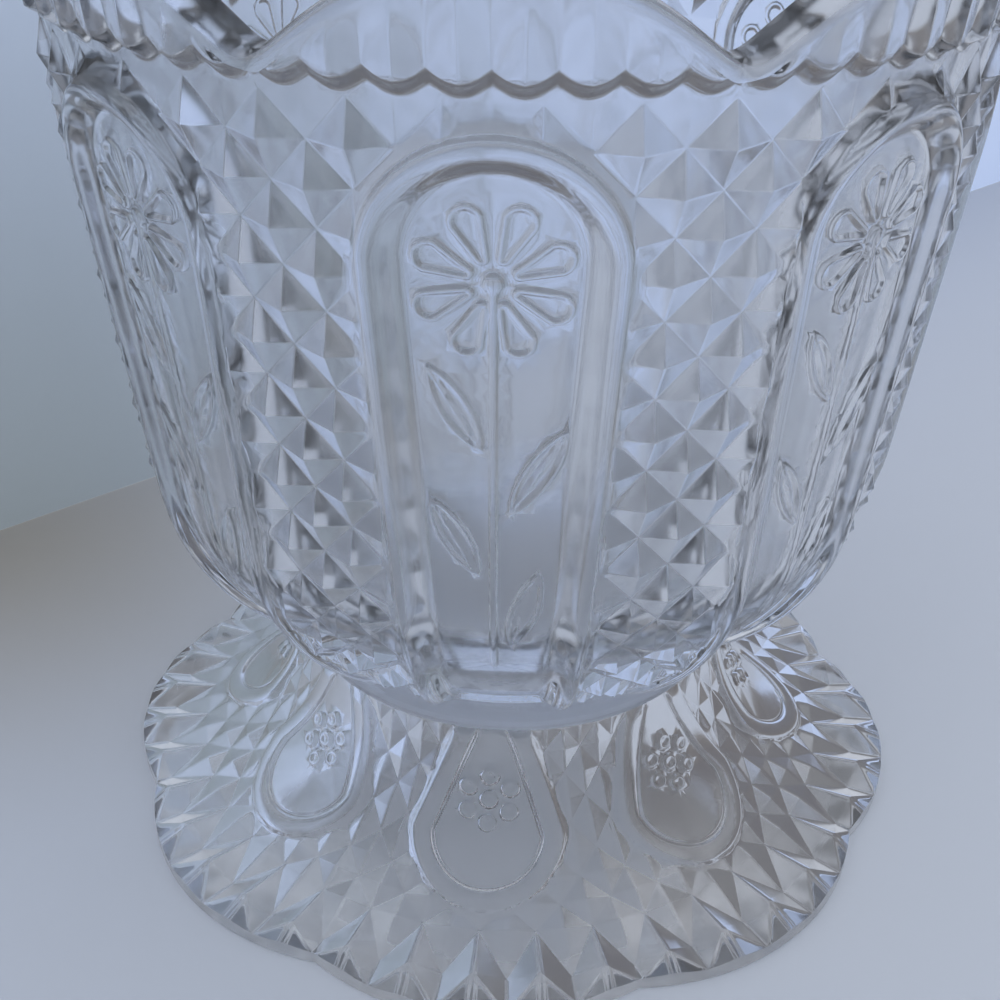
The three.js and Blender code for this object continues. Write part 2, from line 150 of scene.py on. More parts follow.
def bowl_meridian():
    """Round out of the collar to the shoulder, then straight to the rim, with no corner between them."""
    lean = (RIM[0] - SHOULDER[0]) / (RIM[1] - SHOULDER[1])
    pull = 17
    bend = [(COLLAR_RADIUS, 0), (COLLAR_RADIUS + 7, 3.4), (SHOULDER[0] - lean * pull, SHOULDER[1] - pull), SHOULDER]
    return Meridian(bend, RIM)


def foot_meridian():
    """Low over the border and steep up to the collar."""
    start = (FOOT_RADIUS - FOOT_TOP_IN, FOOT_EDGE)
    low = (start[0] - 14, start[1] + 4.3)
    steep = (FOOT_COLLAR + 2.4, FOOT_TOP - 14.5)
    return Meridian([start, low, steep, (FOOT_COLLAR, FOOT_TOP)])


def smooth_least(a, b, reach):
    """The lesser of two heights, rounded where they meet."""
    return np.minimum(a, b) - np.maximum(reach - np.abs(a - b), 0) ** 2 / (4 * reach)


def soft_distance(value, reach):
    """Distance from nothing, rounded over this reach."""
    away = np.abs(value)
    return np.where(away > reach, away, away ** 2 / (2 * reach) + reach / 2)


def point_share(column, line, crest, groove):
    """Height of a diamond at a place given in columns and lines: 1 on the points, where these add up to an odd
    number, and 0 in the grooves."""
    up, down = column + line, column - line
    from_up = soft_distance(up - 2 * np.round(up / 2), groove)
    from_down = soft_distance(down - 2 * np.round(down / 2), groove)
    return smooth_least(from_up, from_down, crest)


def scallop_share(angle):
    """1 in the middle of a scallop and 0 at the notches, which stand between the panels."""
    from_middle = np.abs(((angle / SECTOR + 0.5) % 1) - 0.5) * 2
    return 1 - from_middle ** 2


def rim_height(angle):
    """Height of the rim, with scallops that meet in a small round."""
    sharp = math.sqrt((SCALLOP_RISE + NOTCH_ROUND) ** 2 - NOTCH_ROUND ** 2)
    return NOTCH_HEIGHT + np.hypot(sharp * scallop_share(angle), NOTCH_ROUND) - NOTCH_ROUND


class Panel:
    """Framed panel: tapering sides from its foot to its widest place, then an elliptic end."""

    def __init__(self, meridian, foot, foot_half, widest, widest_half, end):
        self.meridian = meridian
        self.foot, self.foot_half = foot, foot_half
        self.widest, self.widest_half = widest, widest_half
        self.way = 1 if end > widest else -1
        self.reach = abs(end - widest)

    def inset(self, angle, along):
        """How far inside the outline a place is, less than 0 outside it."""
        across = np.abs(self.meridian.radius(along) * np.sin(angle))
        share = np.clip((along - self.widest) / (self.foot - self.widest), 0, None)
        side = self.widest_half + (self.foot_half - self.widest_half) * share - across
        beyond = np.maximum((along - self.widest) * self.way, 0)
        ratio = self.reach / self.widest_half
        end = self.widest_half - np.hypot(across, beyond / ratio)
        return np.where((along - self.widest) * self.way > 0, end, side)

    def outline(self, inset, side_steps, end_steps):
        """Half outline at an even inset, from the foot to the middle of the end, as distances across and along."""
        share = np.linspace(0, 1, side_steps, endpoint=False)
        along = self.foot + (self.widest - self.foot) * share
        across = self.foot_half + (self.widest_half - self.foot_half) * share - inset
        swing = np.linspace(0, math.pi / 2, end_steps + 1)
        scale = (self.widest_half - inset) / self.widest_half
        end_along = self.widest + self.way * self.reach * scale * np.sin(swing)
        return np.stack([np.concatenate([across, (self.widest_half - inset) * np.cos(swing)]),
                         np.concatenate([along, end_along])], 1)


class Drawing:
    """Creases of a sector, drawn flat as angle (in millimetres at a fixed radius) and length, then triangulated."""

    def __init__(self, meridian, radius, low, high):
        self.meridian, self.radius, self.low, self.high = meridian, radius, low, high
        self.points, self.edges = [], []
        self.half = radius * SECTOR / 2

    def line(self, points, closed=False):
        points = np.asarray(points, float)
        first = len(self.points)
        self.points.extend(map(tuple, points))
        count = len(points)
        self.edges.extend((first + i, first + i + 1) for i in range(count - 1))
        if closed:
            self.edges.append((first + count - 1, first))

    def flat(self, across, along):
        """Places given by distance across and length along."""
        across, along = np.broadcast_arrays(across, along)
        return np.stack([self.radius * np.arcsin(np.clip(across / self.meridian.radius(along), -1, 1)), along], -1)

    def mirrored(self, across_along):
        for side in (-1, 1):
            self.line(self.flat(side * across_along[:, 0], across_along[:, 1]))

    def straight(self, start, end, keep, step=0.25):
        """A straight crease, kept only where keep(x, along) holds."""
        start, end = np.array(start, float), np.array(end, float)
        count = max(2, int(np.linalg.norm(end - start) / step) + 1)
        places = start + np.linspace(0, 1, count)[:, None] * (end - start)
        kept = keep(places[:, 0], places[:, 1])
        run = None
        for i, on in enumerate(list(kept) + [False]):
            if on and run is None:
                run = i
            if not on and run is not None:
                if i - 1 > run:
                    self.line([places[run], places[i - 1]])
                run = None

    def triangles(self):
        """Places and faces of the drawing between its low and its high line."""
        places, _, faces, *_ = delaunay_2d_cdt([Vector(p) for p in self.points], self.edges, [], 0, 1e-4)
        places = np.array([p[:] for p in places])
        faces = np.array([f for f in faces], int)
        middle = places[faces].mean(1)
        low = np.interp(middle[:, 0], *self.low)
        high = np.interp(middle[:, 0], *self.high)
        a, b, c = (places[faces[:, i]] for i in range(3))
        area = np.abs((b - a)[:, 0] * (c - a)[:, 1] - (b - a)[:, 1] * (c - a)[:, 0])
        inside = (middle[:, 1] > low) & (middle[:, 1] < high) & (area > 1e-6)
        return places, faces[inside]


def lay(skin, places, faces, flip):
    """Adds one sector's points and faces to a skin, once for each panel."""
    order = faces[:, ::-1] if flip else faces
    for k in range(PANELS):
        turn = k * SECTOR
        c, s = math.cos(turn), math.sin(turn)
        moved = np.stack([places[:, 0] * c - places[:, 1] * s, places[:, 0] * s + places[:, 1] * c, places[:, 2]], 1)
        skin.append((moved, order, 0))


def rings(skin, rows, flip=False, pole=None, finish=0):
    """Adds a strip of quads between each two rows of a full circle, and a fan to the pole."""
    count = len(rows[0])
    points = np.concatenate(rows)
    i = np.arange(count)
    j = (i + 1) % count
    quads = []
    for k in range(len(rows) - 1):
        a, b = k * count, (k + 1) * count
        quads.append(np.stack([a + i, a + j, b + j, b + i], 1))
    quads = np.concatenate(quads)
    skin.append((points, quads[:, ::-1] if flip else quads, finish))
    if pole is not None:
        last = np.concatenate([rows[-1], [pole]])
        fan = np.stack([i, j, np.full(count, count)], 1)
        skin.append((last, fan[:, ::-1] if flip else fan, finish))


def glass_piece(name, skin, finishes, weld=0.004):
    """One mesh object from the parts of a skin, welded where they meet, with flat facets and soft creases."""
    points, faces, finish_of, offset = [], [], [], 0
    for part, order, finish in skin:
        points.append(part)
        faces.extend((order + offset).tolist())
        finish_of.extend([finish] * len(order))
        offset += len(part)
    mesh = bpy.data.meshes.new(name)
    mesh.from_pydata((np.concatenate(points) * MM).tolist(), [], faces)
    mesh.polygons.foreach_set("material_index", finish_of)
    work = bmesh.new()
    work.from_mesh(mesh)
    bmesh.ops.remove_doubles(work, verts=work.verts, dist=weld * MM)
    bmesh.ops.dissolve_degenerate(work, edges=work.edges, dist=weld * MM / 4)
    for face in work.faces:
        face.smooth = True
    work.to_mesh(mesh)
    work.free()
    for finish in finishes:
        mesh.materials.append(finish)
    made = bpy.data.objects.new(name, mesh)
    bpy.context.scene.collection.objects.link(made)
    weighted = made.modifiers.new("facet normals", "WEIGHTED_NORMAL")
    weighted.mode = "FACE_AREA"
    weighted.weight = 60
    weighted.keep_sharp = True
    return made


# Ornament of a bowl panel, as distances across and along from the daisy's eye
PETAL = dict(near=2.9, far=6.95, near_radius=0.95, far_radius=2.05)
PETAL_TURNS = [2 * math.pi * (i + 0.5) / 8 for i in range(8)]
EYE_RADIUS, EYE_HEIGHT = 1.25, 0.75
LEAVES = [(-1.1, -19.9, -7.1, -9.1), (1.6, -28.4, 8.3, -16.4), (-1.5, -36.8, -7.1, -25.8), (1.9, -48.8, 5.4, -35.6)]
LEAF_HALF = 2.0
RIB_HALF, RIB_HEIGHT = 0.35, 0.5
STEM_HALF = 0.6
STEM_ENDS = (-53.5, -1)


def capsule_depth(x, y, near, far, near_radius, far_radius):
    """Depth inside a tapered round-ended loop that points along +y from the eye."""
    share = np.clip((y - near) / (far - near), 0, 1)
    radius = near_radius + (far_radius - near_radius) * share
    return radius - np.hypot(x, y - (near + (far - near) * share))


def capsule_outline(depth, near, far, near_radius, far_radius, steps=8):
    """Line at this depth inside the loop."""
    slope = (far_radius - near_radius) / (far - near)
    start = near + max(0, depth - near_radius) / slope
    start_radius = max(near_radius - depth, 0.02)
    end_radius = far_radius - depth
    swing = np.linspace(-math.pi / 2, math.pi / 2, steps + 1)
    top = np.stack([end_radius * np.sin(swing), far + end_radius * np.cos(swing)], 1)
    bottom = np.stack([start_radius * np.sin(swing), start - start_radius * np.cos(swing)], 1)[::-1]
    return np.concatenate([top, bottom])


def leaf_frame(leaf):
    """Length and direction of a leaf from its root to its tip."""
    x0, y0, x1, y1 = leaf
    length = math.hypot(x1 - x0, y1 - y0)
    return length, ((x1 - x0) / length, (y1 - y0) / length)


def leaf_depth(x, y, leaf):
    """Depth inside a leaf's outline and distance from its midrib."""
    length, (ux, uy) = leaf_frame(leaf)
    u = (x - leaf[0]) * ux + (y - leaf[1]) * uy
    v = (x - leaf[0]) * uy - (y - leaf[1]) * ux
    share = np.clip(u / length, 0, 1)
    half = LEAF_HALF * (4 * share * (1 - share)) ** 0.8
    return np.where((u > 0) & (u < length), half, 0) - np.abs(v), np.abs(v)


def leaf_outline(leaf, depth, steps=9):
    """Line at this depth inside the leaf."""
    length, (ux, uy) = leaf_frame(leaf)
    share = (1 - np.cos(np.linspace(0, math.pi, 2 * steps + 1))) / 2
    half = LEAF_HALF * (4 * share * (1 - share)) ** 0.8 - depth
    keep = half > 0.03
    u, v = share[keep] * length, half[keep]
    side = [np.stack([leaf[0] + u * ux + s * v * uy, leaf[1] + u * uy - s * v * ux], 1) for s in (1, -1)]
    return np.concatenate([side[0], side[1][::-1]])


# Section of the line round a petal or a leaf, from its outline inwards
LOOP_DEPTHS = np.array([0.0, 0.22, 0.45, 0.7, 0.95, 1.25])
LOOP_HEIGHTS = np.array([0.0, 0.34, 0.52, 0.42, 0.16, 0.05])


def loop_height(depth):
    return np.where(depth > 0, np.interp(depth, LOOP_DEPTHS, LOOP_HEIGHTS), 0)


def daisy_height(x, y):
    """Height of daisy, stem and leaves above the panel's field."""
    best = np.zeros_like(x)
    for turn in PETAL_TURNS:
        px = x * math.cos(turn) - y * math.sin(turn)
        py = x * math.sin(turn) + y * math.cos(turn)
        best = np.maximum(best, loop_height(capsule_depth(px, py, **PETAL)))
    away = np.hypot(x, y)
    best = np.maximum(best, EYE_HEIGHT * np.sqrt(np.clip(1 - (away / EYE_RADIUS) ** 2, 0, 1)))
    on_stem = (y < STEM_ENDS[1]) & (y > STEM_ENDS[0])
    stem = STEM_HALF * np.sqrt(np.clip(1 - (x / STEM_HALF) ** 2, 0, 1))
    best = np.maximum(best, np.where(on_stem, stem, 0))
    for leaf in LEAVES:
        depth, rib = leaf_depth(x, y, leaf)
        ridge = np.where(depth > 0, RIB_HEIGHT * np.clip(1 - rib / RIB_HALF, 0, 1), 0)
        best = np.maximum(best, np.maximum(loop_height(depth), ridge))
    return best


# Section of the bowl's frame, from its outer edge to the panel's field
FRAME_INSETS = np.array([0.0, 0.25, 0.55, 0.9, 1.3, 1.7, 2.1, 2.5, 2.9, 3.3, 3.7, 4.1, 4.45, 4.8])
FRAME_HEIGHTS = np.array([-0.5, -0.05, 0.27, 0.46, 0.52, 0.46, 0.3, 0.03, -0.35, -0.79, -1.2, -1.5, -1.66, -1.7])

# Climb out of the channel under the lip, and how much of a flute stands there
LIP_RISES = np.array([-1.1, -0.8, -0.4, 0.0, 0.4, 0.8, 1.2])
LIP_CLIMB = np.array([-1.6, -1.52, -1.25, -0.95, -0.6, -0.22, 0.0])
LIP_FLUTE = np.array([0.0, 0.0, 0.0, 0.1, 0.3, 0.7, 1.0])


class BowlSide:
    """Outer skin of the bowl over one sector."""

    def __init__(self):
        self.meridian = bowl_meridian()
        m = self.meridian
        self.foot = m.at_height(PANEL_FOOT)
        spring = m.at_height(ARCH_SPRING)
        self.panel = Panel(m, self.foot, ARCH_FOOT_HALF, spring, ARCH_RADIUS, spring + ARCH_RADIUS)
        self.lip = m.at_height(LIP_HEIGHT)
        self.first = self.lip - LIP_TOOTH - LIP_CHANNEL
        self.row = (self.first - self.foot) / DIAMOND_ROWS
        self.column = SECTOR / COLUMNS
        self.eye = m.at_height(DAISY_HEIGHT)
        self.scale = BOWL_DRAWN_AT
        self.angles = np.linspace(-SECTOR / 2, SECTOR / 2, ACROSS_SECTOR + 1)

    def tooth(self, angle):
        """0 at the points of the teeth under the lip and 1 between them."""
        return np.abs(np.sin(angle / SECTOR * math.pi * 8))

    def flute(self, angle):
        """Flat facets between the crests over the teeth and the grooves beside them."""
        return soft_distance((angle / SECTOR * 8 + 0.5) % 1 - 0.5, 0.05) * 2

    def lip_line(self, angle):
        return self.lip - LIP_TOOTH * self.tooth(angle)

    def top(self, angle):
        return self.meridian.at_height(rim_height(angle) - RIM_OUTER_ROUND)

    def lines_of_points(self, drawing):
        """Ridges up and across through the points of the diamonds, and the grooves between them on the slant."""
        def clear(x, along):
            in_field = (along < self.first + 0.02) & (along > self.foot - 0.05)
            return (self.panel.inset(x / self.scale, along) < 0.3) & in_field
        column = self.column * self.scale
        for shift in (-RIDGE_HALF, 0, RIDGE_HALF):
            for k in range(-5, 6):
                x = k * column + shift
                if abs(x) <= drawing.half + 1e-6:
                    drawing.straight((x, self.foot), (x, self.first), clear)
            for j in range(1, DIAMOND_ROWS + 1):
                along = self.first - j * self.row + shift
                drawing.straight((-drawing.half, along), (drawing.half, along), clear)
        for n in range(-16, 17):
            for shift in (-GROOVE_HALF, 0, GROOVE_HALF):
                for side in (-1, 1):
                    ends = [(k * column, self.first - side * (2 * n + 1 + shift - k) * self.row) for k in (-5, 5)]
                    drawing.straight(ends[0], ends[1], clear)

    def draw(self):
        half = self.scale * SECTOR / 2
        x = self.scale * self.angles
        top = self.top(self.angles)
        drawing = Drawing(self.meridian, self.scale, (x, np.zeros_like(x)), (x, top))
        drawing.line(np.stack([x, np.zeros_like(x)], 1))
        drawing.line(np.stack([x, top], 1))
        drawing.line(np.stack([x, np.full_like(x, self.foot)], 1))
        self.lines_of_points(drawing)
        for inset in [-1.6, -0.8, -0.3, *FRAME_INSETS]:
            drawing.mirrored(self.panel.outline(inset, 30, 18))
        drawing.line(np.stack([x, np.full_like(x, self.first)], 1))
        lip = self.lip_line(self.angles)
        for rise in LIP_RISES:
            drawing.line(np.stack([x, lip + rise], 1))
        for share in (0.25, 0.5, 0.75, 0.92):
            drawing.line(np.stack([x, (lip + LIP_TOOTH) * (1 - share) + top * share], 1))
        for i in range(-8, 9):
            for shift in (-0.2, 0, 0.2):
                at = i * half / 8 + shift
                if abs(at) < half:
                    high = float(np.interp(at, x, top))
                    drawing.line([(at, self.lip + 0.8), (at, high)])
        for i in (0, len(x) - 1):
            edge = np.concatenate([np.arange(0, self.foot, 0.6), np.arange(self.foot, top[i], 2.0), [top[i]]])
            drawing.line(np.stack([np.full(len(edge), x[i]), edge], 1))
        self.draw_daisy(drawing)
        return drawing.triangles()

    def draw_daisy(self, drawing):
        def lay_out(outline):
            drawing.line(drawing.flat(outline[:, 0], self.eye + outline[:, 1]), closed=True)
        for turn in PETAL_TURNS:
            c, s = math.cos(turn), math.sin(turn)
            for depth in LOOP_DEPTHS:
                if depth < PETAL["near_radius"] + 0.4:
                    o = capsule_outline(depth, **PETAL)
                    lay_out(np.stack([o[:, 0] * c + o[:, 1] * s, -o[:, 0] * s + o[:, 1] * c], 1))
        swing = np.linspace(0, 2 * math.pi, 16, endpoint=False)
        for radius in (EYE_RADIUS, 1.05, 0.65):
            lay_out(radius * np.stack([np.sin(swing), np.cos(swing)], 1))
        for leaf in LEAVES:
            for depth in LOOP_DEPTHS[:-1]:
                lay_out(leaf_outline(leaf, depth))
            length, (ux, uy) = leaf_frame(leaf)
            for beside in (-RIB_HALF, 0, RIB_HALF):
                u = np.linspace(0.12, 0.88, 8) * length
                rib = np.stack([leaf[0] + u * ux + beside * uy, leaf[1] + u * uy - beside * ux], 1)
                drawing.line(drawing.flat(rib[:, 0], self.eye + rib[:, 1]))
        for beside in (-1, -0.75, 0, 0.75, 1):
            s = np.linspace(*STEM_ENDS, 30)
            drawing.line(drawing.flat(np.full_like(s, beside * STEM_HALF), self.eye + s))
        for s in np.arange(self.foot + 2, self.eye + 12, 2.5):
            wide = float(self.panel.outline(4.7, 2, 4)[0, 0]) if s < self.foot + 4 else 5.0
            drawing.line(drawing.flat(np.linspace(-wide, wide, 5), np.full(5, s)))

    def relief(self, x, along):
        """Height of the ornament over the meridian's plain surface."""
        angle = x / self.scale
        inset = self.panel.inset(angle, along)
        column = angle / self.column
        line = (self.first - along) / self.row
        share = point_share(column, line + 1, RIDGE_ROUND, GROOVE_HALF)
        # a diamond whose point would stand on the first line or above it is left out, which leaves the channel
        nearest = np.floor((column + line + 1) / 2) - np.floor((column - line - 1) / 2) - 1
        points = -DIAMOND_DEPTH * (1 - np.where(nearest > 0.5, share, GROOVE_HALF / 2))
        flank = np.interp(inset, [-2.4, 0], [-2.0, FRAME_HEIGHTS[0]])
        across = self.meridian.radius(along) * np.sin(angle)
        framed = np.interp(inset, FRAME_INSETS, FRAME_HEIGHTS)
        field = np.where(inset > FRAME_INSETS[-1] - 0.3, daisy_height(across, along - self.eye), 0)
        height = np.where(inset > -1e-3, framed + field, np.maximum(points, flank))
        above = along - self.lip_line(angle)
        fade = np.clip((self.top(angle) - along) * 2 / (self.top(angle) - self.lip), 0, 1)
        flute = (0.7 * self.flute(angle) - 0.15) * np.interp(above, LIP_RISES, LIP_FLUTE) * fade
        height = np.where(above > LIP_RISES[0] - 1e-4, np.interp(above, LIP_RISES, LIP_CLIMB) + flute, height)
        return height * np.clip(along / self.foot, 0, 1)

    def skin(self):
        places, faces = self.draw()
        angle, along = places[:, 0] / self.scale, places[:, 1]
        radius, height = self.meridian.profile(along, self.relief(places[:, 0], along))
        return around(angle, radius, height + BOWL_SEAT), faces


def full_circle():
    """Angles of a ring, which starts on a notch."""
    return np.linspace(0, 2 * math.pi, PANELS * ACROSS_SECTOR, endpoint=False) - SECTOR / 2


def quarter(steps):
    """Angles of a quarter turn, without its start."""
    return np.linspace(0, math.pi / 2, steps + 1)[1:]


def bowl_inside(skin, side):
    """Rounded rim, inner wall, turn and floor, as rings that start on the outer skin's top edge."""
    angle = full_circle()
    top = rim_height(angle)
    m = side.meridian
    start = side.top(angle)
    outer = m.radius(start)
    rows = [(outer, m.height(start))]
    crown = m.radius_at_height(top)
    for swing in quarter(7):
        rows.append((crown - (crown - outer) * (1 - math.sin(swing)) ** 2 - RIM_OUTER_ROUND * (1 - math.cos(swing)),
                     top - RIM_OUTER_ROUND * (1 - math.sin(swing))))
    rows.append((crown - (RIM_OUTER_ROUND + WALL - RIM_INNER_ROUND) / 2, top))
    for swing in (0, *quarter(4)):
        rows.append((crown - WALL + RIM_INNER_ROUND * (1 - math.sin(swing)),
                     top - RIM_INNER_ROUND * (1 - math.cos(swing))))
    rim_rows = len(rows) - 1
    turn_radius = m.radius_at_height(CAVITY_TURN) - WALL
    inner = crown - WALL
    low = top - RIM_INNER_ROUND
    for share in np.linspace(0, 1, 9)[1:]:
        rows.append((inner + (turn_radius - inner) * share, low + (CAVITY_TURN - low) * share))
    for swing in quarter(16):
        rows.append((CAVITY_FLOOR_RADIUS + (turn_radius - CAVITY_FLOOR_RADIUS) * math.cos(swing),
                     CAVITY_TURN - (CAVITY_TURN - CAVITY_FLOOR) * math.sin(swing)))
    rows.extend((radius, CAVITY_FLOOR) for radius in (12, 8, 4, 1.5))
    rows = [around(angle, radius, height + BOWL_SEAT) for radius, height in rows]
    rings(skin, rows[:rim_rows])
    rings(skin, rows[rim_rows - 1:], pole=(0, 0, CAVITY_FLOOR + BOWL_SEAT), finish=1)


def make_bowl(finishes):
    side = BowlSide()
    skin = []
    places, faces = side.skin()
    lay(skin, places, faces, flip=False)
    bowl_inside(skin, side)
    return glass_piece("pressed_bowl", skin, finishes)


# Section of a medallion on the foot, from its outline to its field, and the small flower in it
MEDALLION_INSETS = np.array([0.0, 0.3, 0.7, 1.2, 2.0, 2.8, 3.2, 3.4, 3.6, 3.8, 4.1])
MEDALLION_HEIGHTS = np.array([-0.3, 0.15, 0.45, 0.6, 0.62, 0.52, 0.42, 0.1, -0.25, 0.1, 0.2])
BEAD_REACH = 3.3
BEADS = [BEAD_REACH * np.array([math.sin(2 * math.pi * i / 6), math.cos(2 * math.pi * i / 6)]) for i in range(6)]
BEADS.append(np.zeros(2))
BEAD_RADII = [0, 0.5, 0.85, 1.2, 1.45]
BEAD_HEIGHTS = [0.25, 0.35, 0.6, 0.45, 0]


class FootTop:
    """Upper skin of the foot over one sector."""

    def __init__(self):
        self.meridian = foot_meridian()
        m = self.meridian
        end = PRISM_REACH + 2.2
        widest = end + 10.4
        self.panel = Panel(m, m.length, 5.4, widest, 11.2, end)
        self.row = (m.length - PRISM_REACH) / FOOT_DIAMOND_ROWS
        self.column = SECTOR / COLUMNS
        self.eye = widest + 5.1
        self.scale = FOOT_DRAWN_AT
        self.angles = np.linspace(-SECTOR / 2, SECTOR / 2, ACROSS_SECTOR + 1)

    def draw(self):
        m = self.meridian
        x = self.scale * self.angles
        drawing = Drawing(m, self.scale, (x, np.zeros_like(x)), (x, np.full_like(x, m.length)))
        drawing.line(np.stack([x, np.zeros_like(x)], 1))
        drawing.line(np.stack([x, np.full_like(x, m.length)], 1))
        self.lines_of_points(drawing)
        self.lines_of_border(drawing)
        self.draw_medallion(drawing)
        return drawing.triangles()

    def lines_of_points(self, drawing):
        """Ridges up and across the diamonds, and the grooves between them on the slant."""
        def clear(at, along):
            return (self.panel.inset(at / self.scale, along) < 0.3) & (along > PRISM_REACH - 1e-3)
        half, low, high = drawing.half, PRISM_REACH, self.meridian.length
        column = self.column * self.scale
        for shift in FOOT_RIDGE_LINES:
            for k in range(-5, 6):
                at = k * column + shift
                if abs(at) <= half + 1e-6:
                    drawing.straight((at, low), (at, high), clear)
        for shift in FOOT_CROSS_LINES:
            for j in range(FOOT_DIAMOND_ROWS + 1):
                along = low + j * self.row + shift
                if low - 0.01 <= along <= high:
                    drawing.straight((-half, along), (half, along), clear)
        for shift in FOOT_GROOVE_LINES:
            for n in range(-8, 9):
                for side in (-1, 1):
                    ends = [(k * column, low + side * (2 * n + shift - k) * self.row) for k in (-5, 5)]
                    drawing.straight(ends[0], ends[1], clear)

    def lines_of_border(self, drawing):
        """Crests and grooves of the border's pyramids, from the edge to the first diamonds."""
        half = drawing.half
        column = self.column * self.scale
        for shift in FOOT_RIDGE_LINES:
            for k in range(-5, 6):
                at = k * column + shift
                if abs(at) <= half + 1e-6:
                    drawing.line([(at, 0), (at, PRISM_REACH)])
        for shift in FOOT_CROSS_LINES:
            drawing.line([(-half, PRISM_PEAK + shift), (half, PRISM_PEAK + shift)])
        for shift in FOOT_GROOVE_LINES:
            for k in range(-5, 6, 2):
                for side in (-1, 1):
                    if abs(k + side) <= 5 and abs(k * column + shift) <= half + 1e-6:
                        beside = (k + side) * column + shift
                        drawing.line([(k * column + shift, 0), (beside, PRISM_PEAK)])
                        drawing.line([(k * column + shift, PRISM_PEAK), (beside, PRISM_REACH)])
        for along in (PRISM_REACH - 0.12, PRISM_REACH):
            drawing.line([(-half, along), (half, along)])

    def draw_medallion(self, drawing):
        for inset in [-1.0, -0.4, *MEDALLION_INSETS]:
            drawing.mirrored(self.panel.outline(inset, 14, 18))
        swing = np.linspace(0, 2 * math.pi, 18, endpoint=False)
        for bead in BEADS:
            for radius in BEAD_RADII[:0:-1]:
                ring = radius * np.stack([np.sin(swing), np.cos(swing)], 1) + bead
                drawing.line(drawing.flat(ring[:, 0], self.eye + ring[:, 1]), closed=True)
        for s in np.arange(PRISM_REACH + 7, self.meridian.length, 2.0):
            drawing.line(drawing.flat(np.linspace(-2, 2, 4), np.full(4, s)))

    def prisms(self, column, along):
        """Pyramids of the border: flat facets between crests on the even columns and grooves on the odd ones."""
        beside = soft_distance(column - 2 * np.round(column / 2), 0.15)
        out, back = along / PRISM_PEAK, (along - PRISM_PEAK) / (PRISM_REACH - PRISM_PEAK)
        groove = PRISM_FALL - PRISM_CREST
        front = np.where(beside + out < 1, EDGE_RISE * (1 - beside) + out,
                         PRISM_FALL - PRISM_FALL * beside - groove * out)
        rear = np.where(beside + back < 1,
                        PRISM_CREST - PRISM_FALL * beside - (PRISM_CREST + FOOT_DIAMOND_DEPTH) * back,
                        -groove - FOOT_DIAMOND_DEPTH + FOOT_DIAMOND_DEPTH * beside + groove * back)
        return np.where(along < PRISM_PEAK, front, rear)

    def relief(self, x, along):
        """Height of the ornament over the meridian's plain surface."""
        angle = x / self.scale
        inset = self.panel.inset(angle, along)
        column = angle / self.column
        line = (along - PRISM_REACH) / self.row
        points = -FOOT_DIAMOND_DEPTH * (1 - point_share(column, line, 0.2, 0.04))
        flank = np.interp(inset, [-1.5, 0], [-1.4, MEDALLION_HEIGHTS[0]])
        across = self.meridian.radius(along) * np.sin(angle)
        framed = np.interp(inset, MEDALLION_INSETS, MEDALLION_HEIGHTS)
        flower = self.flower(across, along - self.eye, inset)
        height = np.where(inset > -1e-3, framed + flower, np.maximum(points, flank))
        height *= np.clip((self.meridian.length - along) / 1.2, 0, 1)
        return np.where(along < PRISM_REACH - 1e-4, self.prisms(column, along), height)

    def flower(self, x, y, inset):
        """Rings of the small flower in a medallion: six round a seventh."""
        best = np.zeros_like(x)
        for across, up in BEADS:
            away = np.hypot(x - across, y - up)
            best = np.maximum(best, np.interp(away, BEAD_RADII, BEAD_HEIGHTS))
        return np.where(inset > 3.7, best, 0)

    def skin(self):
        places, faces = self.draw()
        angle, along = places[:, 0] / self.scale, places[:, 1]
        relief = self.relief(places[:, 0], along)
        radius, height = self.meridian.profile(along, relief)
        # the border runs straight from the scalloped edge to its crests and on to the first diamonds
        crest, reach = (np.array(self.meridian.profile(at)) for at in (PRISM_PEAK, PRISM_REACH))
        crest_out, reach_out = ([self.meridian.read(self.meridian.out[:, i], at) for i in (0, 1)]
                                for at in (PRISM_PEAK, PRISM_REACH))
        out = np.clip(along / PRISM_PEAK, 0, 1)
        back = np.clip((along - PRISM_PEAK) / (PRISM_REACH - PRISM_PEAK), 0, 1)
        for i, (edge, edge_out, whole) in enumerate(((edge_radius(angle), 0, radius), (FOOT_EDGE, 1, height))):
            base = edge + (crest[i] - edge) * out + (reach[i] - crest[i]) * back
            lean = edge_out + (crest_out[i] - edge_out) * out + (reach_out[i] - crest_out[i]) * back
            whole[:] = np.where(along < PRISM_REACH, base + lean * relief, whole)
        return around(angle + FOOT_TURN, radius, height), faces


def edge_radius(angle):
    """Radius of the foot's scalloped edge."""
    return FOOT_RADIUS - FOOT_NOTCH * (1 - scallop_share(angle))


